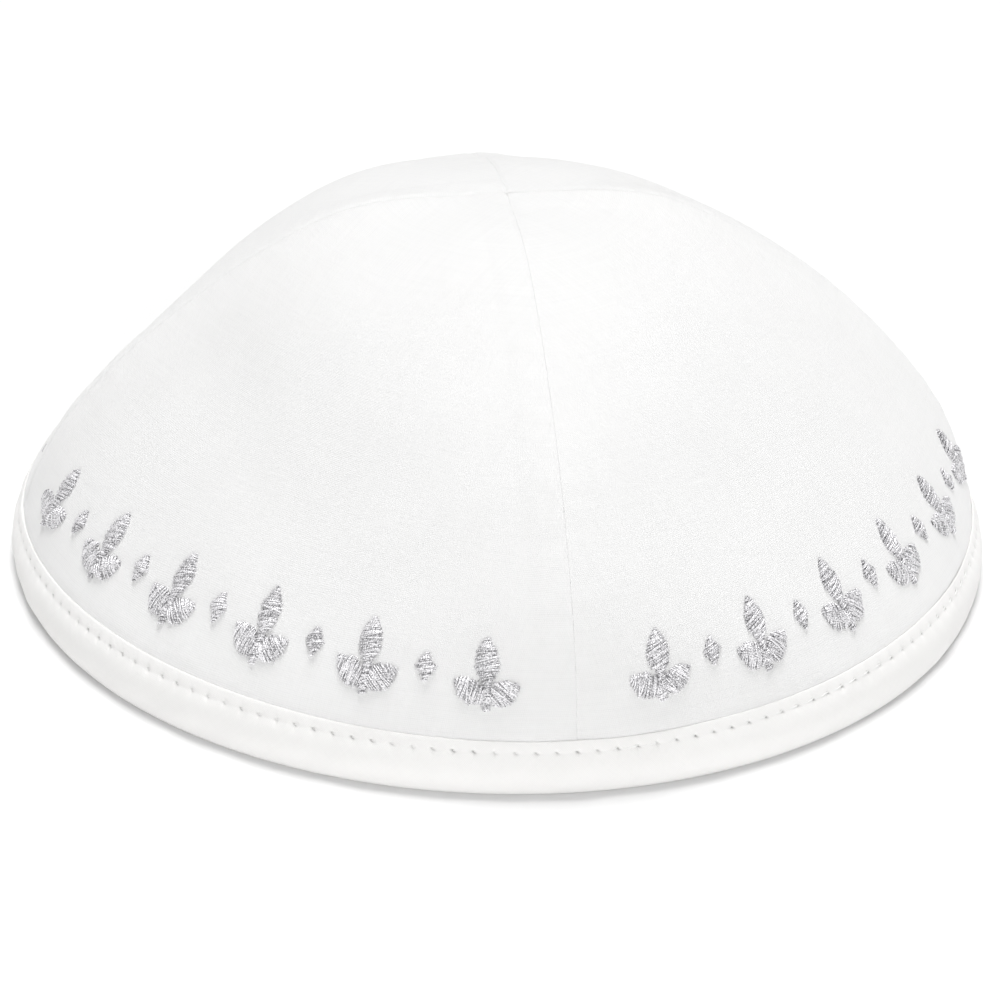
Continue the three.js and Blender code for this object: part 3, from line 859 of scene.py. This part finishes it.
def satinTree():                          # turns each line into a thread with its own tone
    bench = geometryBench("satinThreads")
    geometry = Wire(bench, bench.tree.nodes["Group Input"].outputs["Geometry"])
    thick = bench.ask("Thread radius", "NodeSocketFloat", 0.17 * mm)
    loose = bench.ask("Loose", "NodeSocketFloat", 0.05 * mm)
    seed = bench.ask("Seed", "NodeSocketInt", 3)
    material = bench.ask("Material", "NodeSocketMaterial")
    curve = bench.add("GeometryNodeMeshToCurve", {}, {"Mesh": geometry})
    tone = bench.add("FunctionNodeRandomValue", {"data_type": "FLOAT"},
                     {"Min": 0.0, "Max": 1.0, "Seed": seed}, "Value")
    curve = bench.add("GeometryNodeStoreNamedAttribute", {"data_type": "FLOAT", "domain": "CURVE"},
                      {"Geometry": curve, "Name": "tone", "Value": tone})
    kept = bench.add("GeometryNodeInputNamedAttribute", {"data_type": "FLOAT"}, {"Name": "tone"})
    outward = bench.add("GeometryNodeInputNamedAttribute", {"data_type": "FLOAT_VECTOR"},
                        {"Name": "outward"})
    shift = bench.add("ShaderNodeVectorMath", {"operation": "SCALE"},
                      {0: outward, "Scale": (kept - 0.5) * loose})
    curve = bench.add("GeometryNodeSetPosition", {}, {"Geometry": curve, "Offset": shift})
    along = bench.add("GeometryNodeSplineParameter", out="Length")
    curve = bench.add("GeometryNodeStoreNamedAttribute", {"data_type": "FLOAT", "domain": "POINT"},
                      {"Geometry": curve, "Name": "along", "Value": along})
    ring = bench.add("GeometryNodeCurvePrimitiveCircle", {}, {"Resolution": 6, "Radius": thick})
    turn = bench.add("GeometryNodeSplineParameter", out="Factor") * (2 * math.pi)
    around = bench.add("ShaderNodeCombineXYZ", {}, {"X": bench.maths("COSINE", turn),
                                                    "Y": bench.maths("SINE", turn)})
    ring = bench.add("GeometryNodeStoreNamedAttribute",
                     {"data_type": "FLOAT_VECTOR", "domain": "POINT"},
                     {"Geometry": ring, "Name": "around", "Value": around})
    taper = bench.add("GeometryNodeInputNamedAttribute", {"data_type": "FLOAT"}, {"Name": "taper"})
    body = bench.add("GeometryNodeCurveToMesh", {},
                     {"Curve": curve, "Profile Curve": ring, "Scale": taper, "Fill Caps": True})
    finishTree(bench, body, material)
    return bench


satin = satinTree()
sprigWidth = 2 * border["sideLeaf"] * math.sin(border["sideTilt"])
marginTurn = (border["seamMargin"] + sprigWidth / 2) / borderRadius
pitchTurn = (quarter - 2 * marginTurn) / (border["sprigs"] - 1)
for i, goreName in enumerate(goreNames):
    draw = np.random.default_rng(border["seed"] + i)
    flats, middles, pads = [], [], []
    for k in range(2 * border["sprigs"] - 1):
        middle = i * quarter + marginTurn + k * pitchTurn / 2
        for part in (lozengeParts() if k % 2 else sprigParts()):
            flats.append(satinThreads(part, draw))
            middles.append(np.full(len(flats[-1]), middle))
            pads.append(satinPad(middle, part))
    x, y, z = np.moveaxis(np.concatenate(flats), 1, 0)
    around = np.concatenate(middles)[:, None]
    lines = onCloth(around, x, y, z)
    outwards = (onCloth(around, x, y, z + 1 * mm) - lines) / mm
    threads = pathObject(f"border_{goreName}", list(lines), {"outward": list(outwards)},
                         {"taper": [threadTaper] * len(lines)})
    threads = growPiece(threads, satin, {
        "Thread radius": border["threadRadius"], "Loose": border["loose"],
        "Seed": border["threadSeed"] + i, "Material": silver})
    nodes = [f"sprig_{goreName}_{k + 1}" for k in range(border["sprigs"])]
    nodes += [f"lozenge_{goreName}_{k + 1}" for k in range(border["sprigs"] - 1)]
    seat(threads, nodes)
    down, wide = pads[0].shape[:2]
    faces = [gridFaces(down, wide, start=k * down * wide) for k in range(len(pads))]
    # the padding takes the silver finish without the threads' tone, so it comes out darker: a real
    # underlay, with its darker tone painted shade between the threads
    padding = makePiece(f"padding_{goreName}", np.array(pads), np.concatenate(faces), silver)
    seat(padding, nodes)
    print(goreName, "border:", len(lines), "threads")


studio = {
    "floorSize": 6.0, "floorColour": (0.907, 0.907, 0.907, 1), "floorCloud": 0.25,
    "cloudTone": 0.985, "floorRoughness": 0.8, "floorSpecular": 0.2,
    "underRim": 0.02 * mm,                # the floor lies this far below the rim
    "sky": 0.16,
    "suns": [                             # azimuth, elevation, strength, softness in degrees
        (171, 68, 2.70, 30),
        (20, 10, 1.66, 60),
        (62, 8, 0.36, 60),
        (-60, 12, 1.12, 60)],
}


def makeFloor():
    material, bench, shader = newMaterial("paleFloor")
    solid = bench.add("ShaderNodeTexCoord", out="Object")
    cloud = noise(bench, solid, studio["floorCloud"], 2)
    duller = tuple(studio["cloudTone"] * c for c in studio["floorColour"][:3]) + (1,)
    tint = mixColours(bench, cloud, studio["floorColour"], duller)
    join(bench, tint, shader.inputs["Base Color"])
    shader.inputs["Roughness"].default_value = studio["floorRoughness"]
    shader.inputs["Specular IOR Level"].default_value = studio["floorSpecular"]
    half = studio["floorSize"] / 2
    corners = np.array([(-half, -half, 0), (half, -half, 0), (half, half, 0), (-half, half, 0)])
    corners = corners - [0, 0, studio["underRim"]]
    floor = makePiece("floor", corners, np.array([[0, 1, 2, 3]]), material)


def makeLights():
    world = bpy.data.worlds.new("studio")
    bpy.context.scene.world = world
    world.use_nodes = True
    sky = world.node_tree.nodes["Background"]
    sky.inputs["Color"].default_value = (1, 1, 1, 1)
    sky.inputs["Strength"].default_value = studio["sky"]
    for i, (azimuth, elevation, strength, softness) in enumerate(studio["suns"]):
        lamp = bpy.data.lights.new(f"softbox{i + 1}", "SUN")
        lamp.energy = strength
        lamp.angle = math.radians(softness)
        sun = bpy.data.objects.new(lamp.name, lamp)
        a, e = math.radians(azimuth), math.radians(elevation)
        toSun = Vector((math.sin(a) * math.cos(e), -math.cos(a) * math.cos(e), math.sin(e)))
        sun.rotation_euler = toSun.to_track_quat("Z", "Y").to_euler()
        bpy.context.scene.collection.objects.link(sun)


cameraPlace = {
    "azimuth": -9.0, "elevation": 29.065, "distance": 0.612,     # degrees and metres
    "lens": 117.3, "sensor": 36, "roll": 1.46, "aimRight": 0.35 * mm, "aimUp": 5.67 * mm,
}


def makeCamera():
    a, e, roll = (math.radians(cameraPlace[k]) for k in ("azimuth", "elevation", "roll"))
    back = Vector((math.sin(a) * math.cos(e), -math.cos(a) * math.cos(e), math.sin(e)))
    level = Vector((math.cos(a), math.sin(a), 0))
    upright = back.cross(level)
    right = level * math.cos(roll) + upright * math.sin(roll)
    up = upright * math.cos(roll) - level * math.sin(roll)
    place = back * cameraPlace["distance"]
    toEye = (place - right * cameraPlace["aimRight"] - up * cameraPlace["aimUp"]).normalized()
    right = up.cross(toEye).normalized()
    up = toEye.cross(right)
    data = bpy.data.cameras.new("photoView")
    data.lens = cameraPlace["lens"]
    data.sensor_width = cameraPlace["sensor"]
    data.clip_start = 0.01
    camera = bpy.data.objects.new("photoView", data)
    bpy.context.scene.collection.objects.link(camera)
    matrix = camera.matrix_world.copy()
    for row in range(3):
        matrix[row] = right[row], up[row], toEye[row], place[row]
    camera.matrix_world = matrix
    bpy.context.scene.camera = camera


makeFloor()
makeLights()
makeCamera()
bpy.context.scene.view_settings.view_transform = "Standard"
print("studio made")
